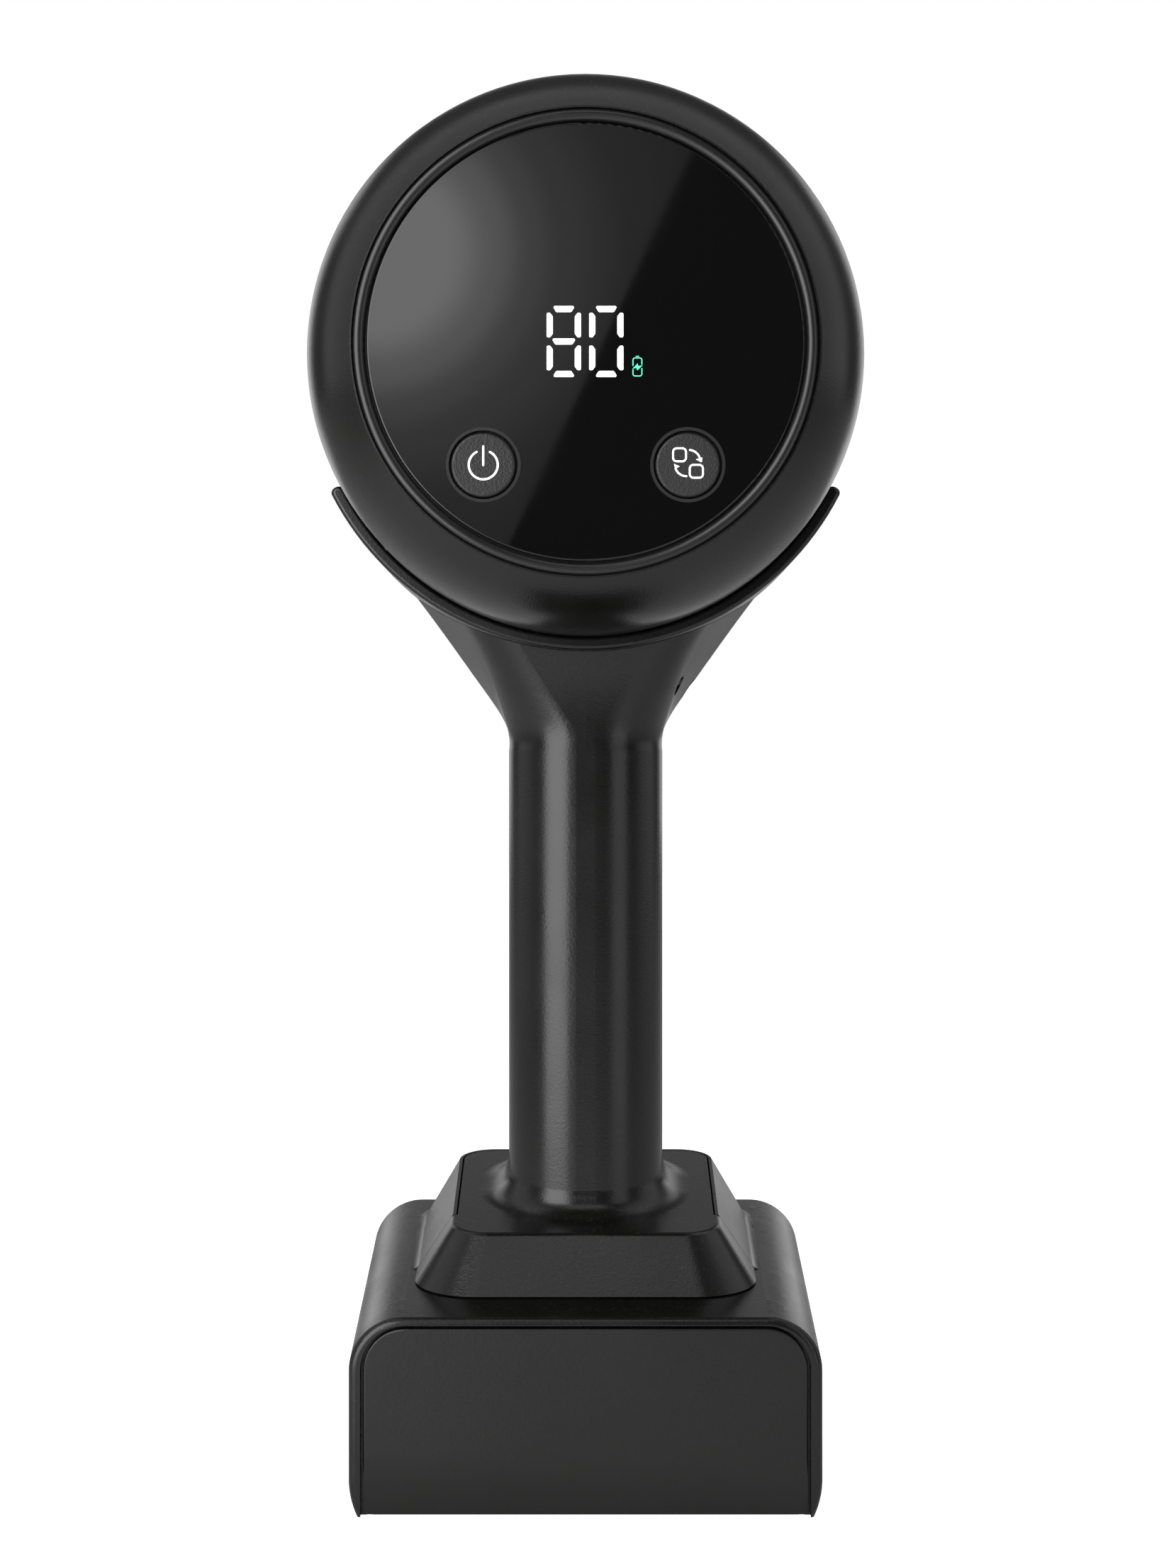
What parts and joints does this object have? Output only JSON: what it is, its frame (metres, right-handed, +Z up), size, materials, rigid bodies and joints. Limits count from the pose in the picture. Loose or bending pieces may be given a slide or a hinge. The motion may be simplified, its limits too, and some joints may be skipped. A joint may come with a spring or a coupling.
{
  "type": "handheld wand massager with charging dock",
  "caption": "Cordless handheld massager: round drum head with glass display, two buttons and rotating node plate on an upright grip, standing in a lift-off charging dock.",
  "frame": {"origin": "centre of the bounding box on the ground plane, under the dock", "axes": "+Z up, the display and dock front face -Y, +X to the right as seen by the user facing the display"},
  "size_m": [0.1332, 0.12, 0.345],
  "materials": {
    "soft_black": "fine-grained soft-touch black polycarbonate/ABS",
    "panel_black": "fine-grained black plastic, slightly rougher",
    "satin_black": "satin black plastic ring",
    "smoked_glass": "smoked black glass, gloss, sealed in front of the display",
    "button_black": "grained black button cap",
    "trim_black": "dark satin trim",
    "rubber_black": "matte rubber",
    "silicone_grey": "matte silicone",
    "inner_plastic": "unfinished inner moulding",
    "steel": "plain steel",
    "bearing_steel": "ground steel",
    "nickel": "nickel strip",
    "gold_contact": "gold-plated brass contact",
    "bronze": "sintered bronze bush",
    "magnet": "ferrite magnet",
    "gear_plastic": "natural acetal gear",
    "gear_plate": "cast aluminium gearbox plate",
    "circuit_green": "circuit board with components",
    "cell_wrap": "lithium-ion cell with blue sleeve",
    "digit_white": "display module body"
  },
  "bodies": {
    "dock": {"dock_cover": "soft_black", "dock_front_panel": "panel_black", "dock_rear_panel": "panel_black", "dock_base_plate": "inner_plastic", "dock_feet": "rubber_black", "dock_weight": "steel", "dock_charge_board": "circuit_green", "dock_contact_block": "inner_plastic", "usb_inlet": "steel", "dock_screws": "steel"},
    "contact_pins": {"contact_pins": "gold_contact"},
    "power_button": {"power_button": "button_black"},
    "mode_button": {"mode_button": "button_black"},
    "plate": {"output_shaft": "bearing_steel", "output_gear": "gear_plastic", "massage_plate": "panel_black", "massage_pad": "silicone_grey", "massage_nodes": "silicone_grey", "plate_screw": "steel"},
    "countershaft": {"countershaft": "bearing_steel", "counter_gear": "gear_plastic", "counter_pinion": "bearing_steel"},
    "rotor": {"rotor_core": "steel", "rotor_shaft": "bearing_steel", "motor_pinion": "bearing_steel"},
    "wand": {"handle_left_shell": "soft_black", "handle_right_shell": "soft_black", "foot_sole": "panel_black", "contact_pads": "gold_contact", "handle_screws": "steel", "battery_cells": "cell_wrap", "battery_straps": "nickel", "battery_cap_lower": "inner_plastic", "battery_cap_upper": "inner_plastic", "battery_board": "circuit_green", "main_board": "circuit_green", "head_cradle": "soft_black", "drum_shell": "soft_black", "rear_ring": "soft_black", "bezel_ring": "satin_black", "display_glass": "smoked_glass", "glass_gasket": "rubber_black", "display_board": "circuit_green", "digit_module": "digit_white", "display_carrier": "inner_plastic", "button_trims": "trim_black", "tactile_switches": "inner_plastic", "front_ring": "soft_black", "head_screws": "steel", "motor_can": "steel", "motor_end_cap": "inner_plastic", "motor_magnets": "magnet", "motor_bushes": "bronze", "gearbox_plate": "gear_plate", "gearbox_cover": "inner_plastic", "gearbox_posts": "steel", "gearbox_screws": "steel", "shaft_bushes": "bronze", "output_bearings": "bearing_steel", "plate_seal": "rubber_black"}
  },
  "joints": [
    {"name": "wand_lift", "type": "slide", "parent": "dock", "child": "wand", "axis": [0, 0, 1], "range_m": [0, 0.08]},
    {"name": "contact_pins_rise", "type": "slide", "parent": "dock", "child": "contact_pins", "axis": [0, 0, 1], "range_m": [0, 0.0012]},
    {"name": "power_button_press", "type": "slide", "parent": "wand", "child": "power_button", "axis": [0, 1, 0], "range_m": [0, 0.0008], "stiffness_N_per_m": 500},
    {"name": "mode_button_press", "type": "slide", "parent": "wand", "child": "mode_button", "axis": [0, 1, 0], "range_m": [0, 0.0008], "stiffness_N_per_m": 500},
    {"name": "plate_spin", "type": "hinge", "parent": "wand", "child": "plate", "pos_m": [0, 0.03, 0.2784], "axis": [0, 1, 0], "continuous": true},
    {"name": "countershaft_spin", "type": "hinge", "parent": "wand", "child": "countershaft", "pos_m": [0, 0.01, 0.3064], "axis": [0, 1, 0], "continuous": true},
    {"name": "rotor_spin", "type": "hinge", "parent": "wand", "child": "rotor", "pos_m": [0, -0.02, 0.2784], "axis": [0, 1, 0], "continuous": true}
  ],
  "couplings": [
    {"joint": "contact_pins_rise", "follows": "wand_lift", "ratio": 0.015},
    {"joint": "countershaft_spin", "follows": "plate_spin", "ratio": -3},
    {"joint": "rotor_spin", "follows": "plate_spin", "ratio": 9}
  ]
}
